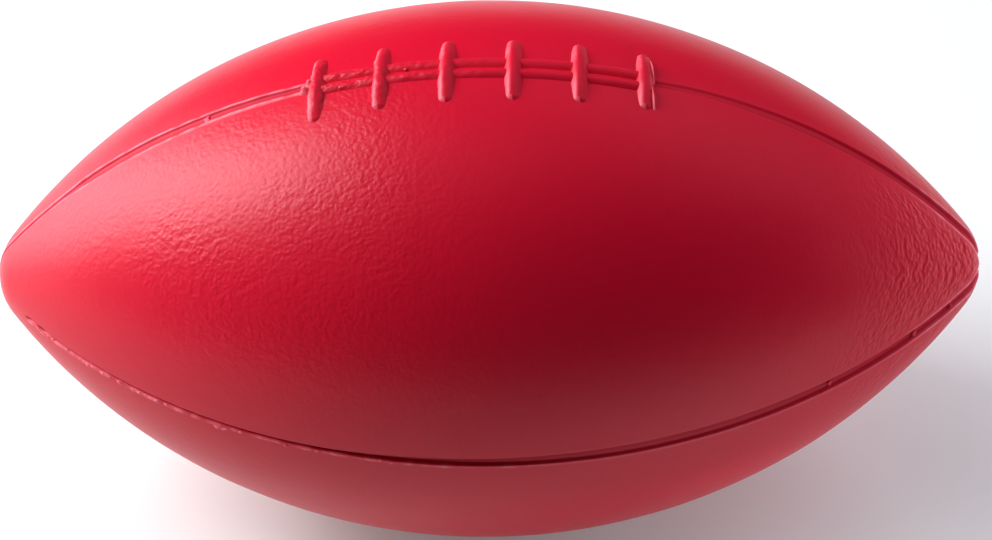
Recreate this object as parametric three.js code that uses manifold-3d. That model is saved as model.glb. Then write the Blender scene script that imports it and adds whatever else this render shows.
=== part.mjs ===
// A moulded foam american football: a foam core, a tough skin in panels and raised moulded lacing.
// Millimetres, +Z up through the lacing, +X along the ball, origin at the ball's centre.
import * as THREE from "three";
import { mergeVertices } from "three/addons/utils/BufferGeometryUtils.js";
import Module from "manifold-3d";

// Driving sizes of the ball
const ballLength = 267; // tip to tip
const ballDiameter = 146; // round the middle
const tipRadius = 17.5; // of the round that blunts each tip
const skinThickness = 1.2; // of the coat over the foam
const clearance = 0.3; // left between neighbouring solids

// Driving sizes of the moulded seam grooves
const seamWidth = 3;
const seamDepth = 1.5;

// Driving sizes of the lacing
const barCount = 6;
const barPitch = 17.2; // between neighbouring bars, along the seam
const barLength = 24; // across the seam
const barWidth = 4.4;
const barHeight = 2.5; // above the skin
const ridgeWidth = 3.2;
const ridgeHeight = 1.5; // above the skin
const ridgeSpacing = 4; // between the middles of the two ridges

// Steps that the round shapes are drawn with
const roundSteps = 40;
const flankSteps = 19;
const tipSteps = 3;
const capSteps = 3;
const sectionSteps = 10;
const barSteps = 6;
const ridgeSteps = 12;

// The outline is one flank arc that runs smoothly into a tip round at each end
const tipCentre = ballLength / 2 - tipRadius;
const flankRise = ballDiameter / 2 - tipRadius;
const flankDrop = (tipCentre ** 2 - flankRise ** 2) / (2 * flankRise);
const flankRadius = ballDiameter / 2 + flankDrop;
const flankAngle = Math.atan2(tipCentre, flankDrop);
const lacingHalf = ((barCount - 1) * barPitch) / 2;
const reach = ballLength + ballDiameter;

const wasm = await Module();
wasm.setup();

const materials = {
  skin: new THREE.MeshStandardMaterial({ name: "skin", color: 0xc4202e, roughness: 0.5, metalness: 0 }),
  lacing: new THREE.MeshStandardMaterial({ name: "lacing", color: 0xc4202e, roughness: 0.5, metalness: 0 }),
  foam: new THREE.MeshStandardMaterial({ name: "foam", color: 0xd9cfae, roughness: 0.95, metalness: 0 }),
};

// A three.js geometry as a solid that can be joined and cut
function solid(geometry) {
  const bare = geometry.clone();
  bare.deleteAttribute("normal");
  bare.deleteAttribute("uv");
  const welded = mergeVertices(bare, 1e-4);
  const shape = new wasm.Manifold(
    new wasm.Mesh({
      numProp: 3,
      vertProperties: new Float32Array(welded.attributes.position.array),
      triVerts: new Uint32Array(welded.index.array),
    }),
  );
  return shape;
}

// A solid as a named mesh
function meshOf(name, shape, material) {
  const data = shape.getMesh();
  const geometry = new THREE.BufferGeometry();
  geometry.setAttribute("position", new THREE.BufferAttribute(new Float32Array(data.vertProperties), 3));
  geometry.setIndex(new THREE.BufferAttribute(new Uint32Array(data.triVerts), 1));
  geometry.computeVertexNormals();
  const mesh = new THREE.Mesh(geometry, material);
  mesh.name = name;
  return mesh;
}

function arc(along, out, radius, from, to, steps) {
  return new THREE.EllipseCurve(out, along, radius, radius, from, to).getPoints(steps);
}

// The plain ball, drawn in from its outside by an inset; a negative inset is larger than the ball
function spindle(inset) {
  const quarter = Math.PI / 2;
  const tip = tipRadius - inset;
  const lowTip = arc(-tipCentre, 0, tip, -quarter, -flankAngle, tipSteps);
  const flank = arc(0, -flankDrop, flankRadius - inset, -flankAngle, flankAngle, flankSteps);
  const highTip = arc(tipCentre, 0, tip, flankAngle, quarter, tipSteps);
  const outline = [...lowTip, ...flank.slice(1), ...highTip.slice(1)];
  outline[0].x = 0;
  outline[outline.length - 1].x = 0;
  return solid(new THREE.LatheGeometry(outline, roundSteps).rotateZ(-quarter));
}

// A slab from the long axis out past the skin, between two places along the ball, turned to its seam
function seamSlab(from, to, width, turn) {
  const slab = new THREE.BoxGeometry(to - from, width, reach);
  slab.translate((from + to) / 2, 0, reach / 2);
  return solid(slab.rotateX(turn));
}

// The grooved ball drawn in by an inset: the grooves stay, wider and deeper by as much.
// The lacing's seam has no groove under the lacing.
function groovedBall(inset) {
  const width = seamWidth + 2 * inset;
  const land = lacingHalf - inset;
  const slabs = [
    seamSlab(-reach, -land, width, 0),
    seamSlab(land, reach, width, 0),
    seamSlab(-reach, reach, width, Math.PI / 2),
    seamSlab(-reach, reach, width, Math.PI),
    seamSlab(-reach, reach, width, -Math.PI / 2),
  ];
  const grooves = wasm.Manifold.union(slabs).subtract(spindle(seamDepth + inset));
  return spindle(inset).subtract(grooves);
}

// The quarter of space that one panel lies in, held off the seam planes
function panelSpace(sideY, sideZ) {
  const block = new THREE.BoxGeometry(2 * reach, reach, reach);
  const middle = (reach + clearance) / 2;
  return solid(block.translate(0, sideY * middle, sideZ * middle));
}

// A capsule of oval section lying along Y on the ground plane, bent down about X to a radius
function bentCapsule(width, height, length, radius, steps) {
  const capsule = new THREE.CapsuleGeometry(width / 2, length - width, capSteps, sectionSteps, steps);
  capsule.scale(1, 1, height / (width / 2));
  const spots = capsule.attributes.position;
  for (let i = 0; i < spots.count; i += 1) {
    const turn = spots.getY(i) / radius;
    const out = radius + spots.getZ(i);
    spots.setY(i, out * Math.sin(turn));
    spots.setZ(i, out * Math.cos(turn) - radius);
  }
  return capsule;
}

// One lengthwise ridge, grown all round by a margin
function ridgeShape(side, margin) {
  const width = ridgeWidth + 2 * margin;
  const height = ridgeHeight + margin;
  const length = 2 * (lacingHalf + margin);
  const ridge = bentCapsule(width, height, length, flankRadius, ridgeSteps);
  ridge.rotateZ(Math.PI / 2);
  ridge.translate(0, (side * ridgeSpacing) / 2, ballDiameter / 2);
  return solid(ridge);
}

// One cross bar, square to the skin at its place along the seam
function barShape(index) {
  const turn = (index * barPitch - lacingHalf) / flankRadius;
  const out = flankRadius * Math.cos(turn) - flankDrop;
  const bar = bentCapsule(barWidth, barHeight, barLength, out / Math.cos(turn), barSteps);
  bar.rotateY(turn);
  bar.translate(flankRadius * Math.sin(turn), 0, out);
  return solid(bar);
}

const ball = new THREE.Group();
ball.name = "american_football";

const foamCore = groovedBall(skinThickness + clearance);
ball.add(meshOf("foam_core", foamCore, materials.foam));

const skin = groovedBall(0).subtract(groovedBall(skinThickness));
const panels = [
  ["upper_front_panel", -1, 1],
  ["upper_rear_panel", 1, 1],
  ["lower_rear_panel", 1, -1],
  ["lower_front_panel", -1, -1],
];
for (const [name, sideY, sideZ] of panels) {
  ball.add(meshOf(name, skin.intersect(panelSpace(sideY, sideZ)), materials.skin));
}

const seat = spindle(-clearance);
ball.add(meshOf("front_lace_ridge", ridgeShape(-1, 0).subtract(seat), materials.lacing));
ball.add(meshOf("rear_lace_ridge", ridgeShape(1, 0).subtract(seat), materials.lacing));

const underBars = wasm.Manifold.union([seat, ridgeShape(-1, clearance), ridgeShape(1, clearance)]);
for (let index = 0; index < barCount; index += 1) {
  ball.add(meshOf(`lace_bar_${index + 1}`, barShape(index).subtract(underBars), materials.lacing));
}

export default ball;
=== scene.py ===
"""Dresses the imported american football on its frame.

Four grained skin panels with moulded seams, raised lacing, runs of coat and a foam core, on a stage."""

import math

import bpy
from bpy.props import FloatProperty, FloatVectorProperty, IntProperty, PointerProperty
from mathutils import Matrix, Vector


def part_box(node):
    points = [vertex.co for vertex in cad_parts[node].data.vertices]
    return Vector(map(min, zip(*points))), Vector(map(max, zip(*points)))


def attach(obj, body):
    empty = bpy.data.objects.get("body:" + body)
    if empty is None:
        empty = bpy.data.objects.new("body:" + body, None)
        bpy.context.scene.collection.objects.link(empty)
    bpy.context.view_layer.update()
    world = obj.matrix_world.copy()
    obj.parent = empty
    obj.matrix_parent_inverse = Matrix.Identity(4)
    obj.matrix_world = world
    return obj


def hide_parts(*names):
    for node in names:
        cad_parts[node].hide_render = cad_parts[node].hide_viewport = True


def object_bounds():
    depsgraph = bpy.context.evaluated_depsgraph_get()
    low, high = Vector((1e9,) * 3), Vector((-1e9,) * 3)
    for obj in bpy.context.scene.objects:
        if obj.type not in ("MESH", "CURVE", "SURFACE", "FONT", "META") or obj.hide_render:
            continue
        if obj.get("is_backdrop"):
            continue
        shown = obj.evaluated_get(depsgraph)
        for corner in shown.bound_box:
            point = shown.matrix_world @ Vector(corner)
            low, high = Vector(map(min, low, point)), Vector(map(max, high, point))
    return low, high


bl_info = {
    "name": "Foam Football",
    "version": (1, 0, 0),
    "blender": (4, 5, 0),
    "location": "View3D > Sidebar > Football",
    "description": "Builds a moulded foam american football on its packed frame",
    "category": "Object",
}

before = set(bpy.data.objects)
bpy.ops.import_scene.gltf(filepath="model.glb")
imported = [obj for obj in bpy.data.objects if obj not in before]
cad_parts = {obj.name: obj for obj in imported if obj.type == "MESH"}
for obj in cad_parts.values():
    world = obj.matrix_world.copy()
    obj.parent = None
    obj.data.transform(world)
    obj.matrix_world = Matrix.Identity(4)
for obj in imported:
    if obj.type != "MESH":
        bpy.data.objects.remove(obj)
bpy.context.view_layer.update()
BODY = "root"
MM = 0.001
QUARTER = math.pi / 2
SEAM_DEPTH = 1.7 * MM


def node_middle(node):
    """The middle of a CAD node's box."""
    low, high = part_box(node)
    return (Vector(low) + Vector(high)) / 2


RIDGE_SPREAD = node_middle("rear_lace_ridge").y - node_middle("front_lace_ridge").y
BAR_COUNT = sum(1 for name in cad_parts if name.startswith("lace_bar_"))


# Sizes and colours that a user would change


class BallSizes(bpy.types.PropertyGroup):
    """Sizes of the ball's body."""

    length: FloatProperty(name="Length", description="Tip to tip", default=267 * MM, unit="LENGTH")
    diameter: FloatProperty(
        name="Diameter", description="Across the middle", default=146 * MM, unit="LENGTH"
    )
    tip_round: FloatProperty(
        name="Tip Round", description="Radius that blunts each tip", default=17.5 * MM, unit="LENGTH"
    )
    skin: FloatProperty(
        name="Skin", description="Thickness of the coat", default=1.1 * MM, unit="LENGTH"
    )
    unevenness: FloatProperty(
        name="Unevenness",
        description="Soft waves in the moulded surface",
        default=0.12 * MM,
        unit="LENGTH",
    )
    columns: IntProperty(name="Columns", description="Mesh columns along a panel", default=300, min=40)
    rows: IntProperty(name="Rows", description="Mesh rows across a panel", default=150, min=40)


class SeamSizes(bpy.types.PropertyGroup):
    """Sizes of the moulded grooves between the panels."""

    width: FloatProperty(
        name="Width", description="Full width of a groove", default=2.9 * MM, unit="LENGTH"
    )
    closed_width: FloatProperty(
        name="Closed Width",
        description="Width where the coat has nearly closed a groove",
        default=0.7 * MM,
        unit="LENGTH",
    )
    depth: FloatProperty(
        name="Depth", description="Depth of a groove", default=SEAM_DEPTH, unit="LENGTH"
    )
    lip: FloatProperty(
        name="Lip", description="Height of the bead along a groove", default=0.12 * MM, unit="LENGTH"
    )


class LacingSizes(bpy.types.PropertyGroup):
    """Sizes of the moulded lacing."""

    pitch: FloatProperty(
        name="Pitch",
        description="Between neighbouring bars",
        default=17.4 * MM,
        unit="LENGTH",
    )
    shift: FloatProperty(
        name="Shift",
        description="How far the row lies off the ball's middle",
        default=0.45 * MM,
        unit="LENGTH",
    )
    bar_length: FloatProperty(
        name="Bar Length", description="Across the seam", default=25.3 * MM, unit="LENGTH"
    )
    bar_width: FloatProperty(
        name="Bar Width", description="Along the seam", default=4.9 * MM, unit="LENGTH"
    )
    bar_height: FloatProperty(
        name="Bar Height", description="Above the skin", default=2.0 * MM, unit="LENGTH"
    )
    ridge_length: FloatProperty(
        name="Ridge Length", description="Along the seam", default=87.4 * MM, unit="LENGTH"
    )
    ridge_width: FloatProperty(
        name="Ridge Width", description="Of one ridge", default=3.9 * MM, unit="LENGTH"
    )
    ridge_height: FloatProperty(
        name="Ridge Height", description="Above the skin", default=1.1 * MM, unit="LENGTH"
    )
    ridge_spacing: FloatProperty(
        name="Ridge Spacing", description="Between the two ridges", default=RIDGE_SPREAD, unit="LENGTH"
    )
    drift: FloatProperty(
        name="Drift",
        description="How far each bar lies behind the one before",
        default=0.35 * MM,
        unit="LENGTH",
    )
    lean: FloatProperty(
        name="Lean", description="Lean of the first bar", default=math.radians(3), subtype="ANGLE"
    )
    lean_step: FloatProperty(
        name="Lean Step",
        description="Turn from each bar to the next",
        default=math.radians(0.9),
        subtype="ANGLE",
    )
    shortening: FloatProperty(
        name="Shortening",
        description="Share of its length that the last bar lacks",
        default=0.1,
        subtype="FACTOR",
    )
    taper: FloatProperty(
        name="Taper",
        description="Share of its width that a bar loses towards its ends",
        default=0.22,
        subtype="FACTOR",
    )


class CoatFinish(bpy.types.PropertyGroup):
    """Colours and grain of the coat and the foam."""

    red: FloatVectorProperty(
        name="Red",
        description="Colour of the coat",
        subtype="COLOR",
        size=4,
        default=(0.6, 0.003, 0.023, 1),
    )
    # Painted shade: the colour that the grooves are darkened towards
    shade_red: FloatVectorProperty(
        name="Shade Red",
        description="Colour in the grooves",
        subtype="COLOR",
        size=4,
        default=(0.36, 0.002, 0.016, 1),
    )
    # Painted highlight: the colour that raised edges are paled towards
    highlight_red: FloatVectorProperty(
        name="Highlight Red",
        description="Colour of raised edges",
        subtype="COLOR",
        size=4,
        default=(0.95, 0.2, 0.26, 1),
    )
    foam: FloatVectorProperty(
        name="Foam",
        description="Colour of the foam",
        subtype="COLOR",
        size=4,
        default=(0.72, 0.66, 0.47, 1),
    )
    pebble: FloatProperty(
        name="Pebble", description="Size of the grain's pebbles", default=1.1 * MM, unit="LENGTH"
    )


class StageSettings(bpy.types.PropertyGroup):
    """The camera's place."""

    distance: FloatProperty(name="Distance", description="Camera to ball", default=1.254, unit="LENGTH")
    azimuth: FloatProperty(
        name="Azimuth", description="Round the ball", default=math.radians(2.85), subtype="ANGLE"
    )
    elevation: FloatProperty(
        name="Elevation", description="Above the horizon", default=math.radians(43.92), subtype="ANGLE"
    )
    roll: FloatProperty(
        name="Roll", description="About the view", default=math.radians(-2.68), subtype="ANGLE"
    )
    lens: FloatProperty(name="Lens", description="Focal length in millimetres", default=166.95)


# Formulas inside node trees


class Field:
    """A node socket that takes part in formulas: each operation adds a Math node to its tree."""

    def __init__(self, tree, socket):
        self.tree = tree
        self.socket = socket

    def math(self, operation, *others):
        """This value and the others through one Math node."""
        node = self.tree.nodes.new("ShaderNodeMath")
        node.operation = operation
        for index, value in enumerate((self, *others)):
            plug(self.tree, node.inputs[index], value)
        return Field(self.tree, node.outputs[0])

    def __add__(self, other):
        return self.math("ADD", other)

    def __sub__(self, other):
        return self.math("SUBTRACT", other)

    def __rsub__(self, other):
        return self.math("MULTIPLY_ADD", -1.0, other)

    def __mul__(self, other):
        return self.math("MULTIPLY", other)

    def __truediv__(self, other):
        return self.math("DIVIDE", other)

    def __rtruediv__(self, other):
        return self.math("POWER", -1.0) * other

    def __gt__(self, other):
        return self.math("GREATER_THAN", other)

    __radd__ = __add__
    __rmul__ = __mul__

    def sin(self):
        return self.math("SINE")

    def cos(self):
        return self.math("COSINE")

    def abs(self):
        return self.math("ABSOLUTE")

    def sign(self):
        return self.math("SIGN")

    def exp(self):
        return self.math("EXPONENT")

    def low(self, other):
        """The lesser of two values."""
        return self.math("MINIMUM", other)

    def high(self, other):
        """The greater of two values."""
        return self.math("MAXIMUM", other)

    def to(self, other, share):
        """This value, moved towards another by a share from 0 to 1."""
        return self + (other - self) * share

    def above(self, least):
        """A share from 0 to 1, made one from a least value to 1."""
        return least + self * (1.0 - least)

    def step(self, start, end):
        """A smooth step from 0 at start to 1 at end."""
        node = self.tree.nodes.new("ShaderNodeMapRange")
        node.interpolation_type = "SMOOTHSTEP"
        for index, value in enumerate((self, start, end, 0.0, 1.0)):
            plug(self.tree, node.inputs[index], value)
        return Field(self.tree, node.outputs[0])

    def hump(self, middle, half):
        """A smooth hump of height 1 at the middle, gone a little past twice its half width."""
        away = (self - middle) / half
        return (away * away * -1.0).exp()


def plug(tree, socket, value):
    """Links a field to a socket, or sets the socket to a plain value."""
    if isinstance(value, Field):
        tree.links.new(value.socket, socket)
    else:
        socket.default_value = value


def new_tree(name, kind, inputs, outputs):
    """A node tree with named sockets: (tree, fields of its inputs by name, its output node)."""
    tree = bpy.data.node_groups.new(name, kind)
    for socket_name, socket_type in inputs:
        tree.interface.new_socket(socket_name, in_out="INPUT", socket_type="NodeSocket" + socket_type)
    for socket_name, socket_type in outputs:
        tree.interface.new_socket(socket_name, in_out="OUTPUT", socket_type="NodeSocket" + socket_type)
    entry = tree.nodes.new("NodeGroupInput")
    given = {socket.name: Field(tree, socket) for socket in entry.outputs if socket.name}
    return tree, given, tree.nodes.new("NodeGroupOutput")


def call(tree, group, **values):
    """Places a node group in a tree and returns the fields of its outputs by name."""
    kind = "ShaderNodeGroup" if tree.bl_idname == "ShaderNodeTree" else "GeometryNodeGroup"
    node = tree.nodes.new(kind)
    node.node_tree = group
    for name, value in values.items():
        plug(tree, node.inputs[name.replace("_", " ")], value)
    return {socket.name: Field(tree, socket) for socket in node.outputs}


def place(tree, kind, settings=None, **values):
    """Adds one node, sets its properties and plugs its inputs by name."""
    node = tree.nodes.new(kind)
    for name, value in (settings or {}).items():
        setattr(node, name, value)
    for name, value in values.items():
        plug(tree, node.inputs[name.replace("_", " ")], value)
    return node


def out(tree, node, socket=0):
    """A node's output as a field."""
    return Field(tree, node.outputs[socket])


def parts_of(tree, vector):
    """The three parts of a vector field."""
    node = place(tree, "ShaderNodeSeparateXYZ", Vector=vector)
    return [Field(tree, socket) for socket in node.outputs]


def vector_of(tree, x, y, z):
    """A vector field from three parts."""
    return out(tree, place(tree, "ShaderNodeCombineXYZ", X=x, Y=y, Z=z))


def noise(tree, vector, scale, detail=2.0):
    """A noise field from 0 to 1; the scale is in waves to a metre."""
    return out(tree, place(tree, "ShaderNodeTexNoise", Vector=vector, Scale=scale, Detail=detail))


# The ball's own shape, shared by every piece that lies on it

BALL = (("Length", "Float"), ("Diameter", "Float"), ("Tip Round", "Float"))


def ball_inputs(given):
    """The ball's sizes among a tree's inputs, as they are handed on to a group."""
    return {name.replace(" ", "_"): given[name] for name, _ in BALL}


def ball_outline_group():
    """The outline's arcs from the ball's sizes: a flank that runs smoothly into a round at each tip."""
    arcs = ("Flank Radius", "Flank Drop", "Flank Angle", "Tip Middle", "Half Arc")
    outputs = [(name, "Float") for name in arcs]
    tree, given, end = new_tree("Ball Outline", "GeometryNodeTree", BALL, outputs)
    tip = given["Tip Round"]
    tip_middle = given["Length"] / 2.0 - tip
    rise = given["Diameter"] / 2.0 - tip
    drop = (tip_middle * tip_middle - rise * rise) / (rise * 2.0)
    radius = given["Diameter"] / 2.0 + drop
    angle = tip_middle.math("ARCTAN2", drop)
    half_arc = radius * angle + tip * (QUARTER - angle)
    for socket, value in zip(end.inputs, (radius, drop, angle, tip_middle, half_arc)):
        plug(tree, socket, value)
    return tree


def ball_surface_group(outline):
    """A place on the ball and the ball's radius there.

    It lies along the flank from the middle, around from the lacing by an angle and across by a length,
    and is lifted off the surface."""
    inputs = BALL + (("Along", "Float"), ("Around", "Float"), ("Across", "Float"), ("Lift", "Float"))
    outputs = [("Place", "Vector"), ("Radius", "Float")]
    tree, given, end = new_tree("Ball Surface", "GeometryNodeTree", inputs, outputs)
    arcs = call(tree, outline, **ball_inputs(given))
    tip = given["Tip Round"]
    along = given["Along"].abs()
    flank_arc = arcs["Flank Radius"] * arcs["Flank Angle"]
    on_tip = along > flank_arc
    turn = along.low(flank_arc) / arcs["Flank Radius"] + (along - flank_arc).high(0.0) / tip
    arc_radius = arcs["Flank Radius"].to(tip, on_tip)
    arc_middle = arcs["Tip Middle"] * on_tip
    arc_drop = arcs["Flank Drop"] * (1.0 - on_tip)
    radius = arc_radius * turn.cos() - arc_drop
    lifted = radius + given["Lift"] * turn.cos()
    x = given["Along"].sign() * (arc_middle + (arc_radius + given["Lift"]) * turn.sin())
    around = given["Around"] + given["Across"] / radius
    spot = vector_of(tree, x, lifted * around.sin() * -1.0, lifted * around.cos())
    plug(tree, end.inputs["Place"], spot)
    plug(tree, end.inputs["Radius"], radius)
    return tree


# Seam grooves: spans along the ball, from its middle, in which they change

LAND_FADE = (-0.5 * MM, 1.5 * MM)  # about the end of a land, where its groove starts
SIDE_REACH = 55 * MM  # past the land, over which a groove takes its side's width
CROSSOVER = (-40 * MM, 40 * MM)  # from the left sizes to the right ones
TIP_FADE = 18 * MM  # before the tip's reach, over which the left width goes to the tip's
DEEPENING = (60 * MM, 140 * MM)  # from the inner depth to the right one
LIP_CHANGE = (70 * MM, 95 * MM)  # from the inner lip to the left one
BOW_START = (44 * MM, 58 * MM)  # where the laced seam starts to bow to one side
BOW_END = (112 * MM, 145 * MM)  # where it comes back
TIP_HIGHLIGHT_SPAN = (118 * MM, 140 * MM)  # where the edges at the right tip get a painted highlight
PITS = ((-139.4 * MM, 1.1 * MM), (-134.2 * MM, 1.3 * MM))  # middle and half width of each

# Seam grooves: their section

SHOWN_WIDTH = (0.1 * MM, 0.6 * MM)  # over which a widening groove comes in
HALF_DEEP_WIDTH = 0.6 * MM  # a groove this wide is half as deep as a very wide one
SHADE_DEPTH = (-0.6 * MM, 1.0 * MM)  # over which a deeper groove gets more painted shade
EDGE_SOFTNESS = 0.24 * MM  # half width of the slope at a groove's edge
LEFT_SOFTNESS = 0.06  # share of its missing depth by which a shallow groove is softer
RIGHT_SOFTNESS = 0.2  # added to that share at the right
LIP_OFFSET = 0.25 * MM  # from the slope to the lip's crest
LIP_HALF = 0.45 * MM  # half width of the lip
HIGHLIGHT_LIP = 0.25 * MM  # height at which a lip has its full painted highlight

# Seam grooves: their torn lips and the painted highlight on the edges at the right tip

TEAR_WAVES = 240.0  # to a metre
TEAR_MIDDLE = 0.68  # level of the noise that tears nothing
LIP_LEVEL = 1.57  # strength of the painted highlight on an edge at the right tip
TIP_HIGHLIGHT_LEVEL = 1.2  # paleness of a worn edge
TIP_HIGHLIGHT_RAGGED = 2.2  # how much the tears change it
TIP_HIGHLIGHT_LEAST = 0.15

SEAM_WIDTHS = ("Tip Width", "Left Width", "Inner Width", "Right Width")
SEAM_DEPTHS = ("Left Depth", "Inner Depth", "Right Depth")
SEAM_LIPS = ("Left Lip", "Inner Lip", "Right Lip")
SEAM_RUN = ("Land", "Tip Reach", "Bow", "Tint", "Ragged", "Pits")
SEAM_INPUTS = SEAM_WIDTHS + SEAM_DEPTHS + SEAM_LIPS + SEAM_RUN


def seam_groove_group():
    """How far a groove sinks the skin at a distance from its seam, the painted shade in it, and the painted
    highlight on its lips.

    Its width runs from the left tip through the left and inner widths to the right one.
    A land stays ungrooved."""
    inputs = [(name, "Float") for name in ("Along", "Distance") + SEAM_INPUTS]
    outputs = [(name, "Float") for name in ("Lift", "Groove", "Painted Highlight")]
    tree, given, end = new_tree("Seam Groove", "GeometryNodeTree", inputs, outputs)
    along = given["Along"]
    from_middle = along.abs()
    land = given["Land"]
    reach = given["Tip Reach"]
    to_right = along.step(*CROSSOVER)

    # Width and depth along the seam
    past_land = from_middle.step(land + LAND_FADE[0], land + LAND_FADE[1])
    opened = 1.0 - (land > 0.0) * (1.0 - past_land)
    left_width = given["Left Width"].to(given["Tip Width"], from_middle.step(reach - TIP_FADE, reach))
    side_width = left_width.to(given["Right Width"], along > 0.0)
    width = given["Inner Width"].to(side_width, from_middle.step(land, land + SIDE_REACH))
    first_pit, second_pit = (along.hump(*pit) for pit in PITS)
    width = width + given["Pits"] * (first_pit + second_pit)
    depth = given["Inner Depth"].to(given["Right Depth"], along.step(*DEEPENING))
    depth = given["Left Depth"].to(depth, to_right)

    # Lip along the seam
    torn = noise(tree, vector_of(tree, along, land, given["Left Lip"]), TEAR_WAVES) - TEAR_MIDDLE
    lip = given["Inner Lip"].to(given["Left Lip"], from_middle.step(*LIP_CHANGE))
    lip = lip * (LIP_LEVEL + torn * given["Ragged"]).high(0.0)
    lip = lip.to(given["Right Lip"], to_right)

    # Section across the seam
    bowed = along.step(*BOW_START) * (1.0 - along.step(*BOW_END))
    distance = (given["Distance"] + given["Bow"] * bowed).abs()
    half = width / 2.0
    present = opened * width.step(*SHOWN_WIDTH)
    softness = (SEAM_DEPTH - depth) * (LEFT_SOFTNESS + to_right * RIGHT_SOFTNESS) + EDGE_SOFTNESS
    inside = (1.0 - distance.step(half - softness, half + softness)) * present
    bead = distance.hump(half + softness + LIP_OFFSET, LIP_HALF) * present
    # Painted highlight along the edges near the right tip, ragged where the lip is torn
    tip_highlight = along.step(*TIP_HIGHLIGHT_SPAN) * (TIP_HIGHLIGHT_LEVEL + torn * TIP_HIGHLIGHT_RAGGED).high(TIP_HIGHLIGHT_LEAST)
    sunk = inside * depth * (width / (width + HALF_DEEP_WIDTH))
    plug(tree, end.inputs["Lift"], bead * lip - sunk)
    # Painted shade in the groove, more where it is deeper, times a strength given for each side of the seam
    plug(tree, end.inputs["Groove"], inside * depth.step(*SHADE_DEPTH) * given["Tint"])
    # Painted highlight on the lip, stronger on a higher lip, and on the edges near the right tip
    plug(tree, end.inputs["Painted Highlight"], bead * (lip.step(0.0, HIGHLIGHT_LIP) + tip_highlight))
    return tree


class Shapes:
    """The node groups that the pieces share, built once."""

    built = {}

    @classmethod
    def get(cls, name):
        if not cls.built:
            outline = ball_outline_group()
            cls.built = {
                "outline": outline,
                "surface": ball_surface_group(outline),
                "groove": seam_groove_group(),
            }
        return cls.built[name]


# Steps that the pieces share

CREASE = math.radians(50)  # an edge sharper than this is shaded as an edge
WELD = 0.002 * MM  # points closer than this are one


def piece_tree(name, inputs):
    """A geometry tree for pieces on the ball: the ball's sizes and these inputs in, a mesh out."""
    return new_tree(name, "GeometryNodeTree", (*BALL, *inputs), [("Geometry", "Geometry")])


def slab(tree, columns, rows):
    """A slab of one layer, from -1 to 1 each way, divided into columns and rows."""
    counts = {"Vertices_X": columns, "Vertices_Y": rows, "Vertices_Z": 2}
    return out(tree, place(tree, "GeometryNodeMeshCube", Size=(2, 2, 2), **counts))


def point_places(tree):
    """Where the points of a geometry are."""
    return out(tree, place(tree, "GeometryNodeInputPosition"))


def copied(tree, points, instance, turn, scale):
    """Real copies of a geometry on points, each turned and scaled."""
    values = {"Points": points, "Instance": instance, "Rotation": turn, "Scale": scale}
    copies = place(tree, "GeometryNodeInstanceOnPoints", **values)
    return out(tree, place(tree, "GeometryNodeRealizeInstances", Geometry=out(tree, copies)))


def moved(tree, geometry, position):
    """The geometry with its points set to new places."""
    return out(tree, place(tree, "GeometryNodeSetPosition", Geometry=geometry, Position=position))


def stored(tree, geometry, name, value):
    """The geometry with a value kept on its points for the shaders."""
    kind = "GeometryNodeStoreNamedAttribute"
    settings = {"data_type": "FLOAT", "domain": "POINT"}
    return out(tree, place(tree, kind, settings, Geometry=geometry, Name=name, Value=value))


def welded(tree, geometry):
    """The geometry with points that fall together made one."""
    return out(tree, place(tree, "GeometryNodeMergeByDistance", Geometry=geometry, Distance=WELD))


def shaded(tree, geometry, domain, smooth, **selection):
    """The geometry with its faces or edges shaded smooth or sharp."""
    kind = "GeometryNodeSetShadeSmooth"
    node = place(tree, kind, {"domain": domain}, Geometry=geometry, Shade_Smooth=smooth, **selection)
    return out(tree, node)


def finish_tree(tree, end, geometry, material):
    """Ends a tree: realized, smooth but for its sharp edges, and in its material."""
    real = out(tree, place(tree, "GeometryNodeRealizeInstances", Geometry=geometry))
    angle = out(tree, place(tree, "GeometryNodeInputMeshEdgeAngle"))
    smooth = shaded(tree, real, "FACE", True)
    creased = shaded(tree, smooth, "EDGE", False, Selection=angle > CREASE)
    painted = place(tree, "GeometryNodeSetMaterial", Geometry=creased, Material=material)
    plug(tree, end.inputs[0], out(tree, painted))


def baked(name, tree, values):
    """The tree's result for these inputs, as a plain mesh object."""
    piece = bpy.data.objects.new(name, bpy.data.meshes.new(name))
    bpy.context.scene.collection.objects.link(piece)
    modifier = piece.modifiers.new("Shape", "NODES")
    modifier.node_group = tree
    for item in tree.interface.items_tree:
        if item.in_out == "INPUT" and item.name in values:
            modifier[item.identifier] = values[item.name]
    graph = bpy.context.evaluated_depsgraph_get()
    mesh = bpy.data.meshes.new_from_object(
        piece.evaluated_get(graph), preserve_all_data_layers=True, depsgraph=graph
    )
    if not mesh.polygons:
        raise RuntimeError(f"{name}: its tree made no faces")
    piece.modifiers.remove(modifier)
    piece.data = mesh
    mesh.name = name
    return piece


def carried(piece, slot, *nodes):
    """The piece on the ball's body, in place of its CAD nodes; the slot is not used."""
    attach(piece, BODY)
    if nodes:
        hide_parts(*nodes)
    return piece


def ball_values(sizes):
    """The ball's sizes as tree inputs."""
    return {"Length": sizes.length, "Diameter": sizes.diameter, "Tip Round": sizes.tip_round}


# Skin panels

EDGE_BAND = 3 * MM  # beside a seam, with rows at a fixed spacing
EDGE_SHARE = 0.4  # the most of a panel's half width that the band takes
EDGE_ROWS = 0.37  # share of the rows in the band
BROAD_WAVES = 28.0  # to a metre, in the moulded surface
FINE_WAVES = 90.0
FINE_SHARE = 0.35  # height of the fine waves to the broad ones
NOISE_GAIN = 2.0  # from a noise's reach of a half each way to one of 1
GRAIN_START = (2 * MM, 5 * MM)  # from a seam, over which the grain comes in


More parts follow.
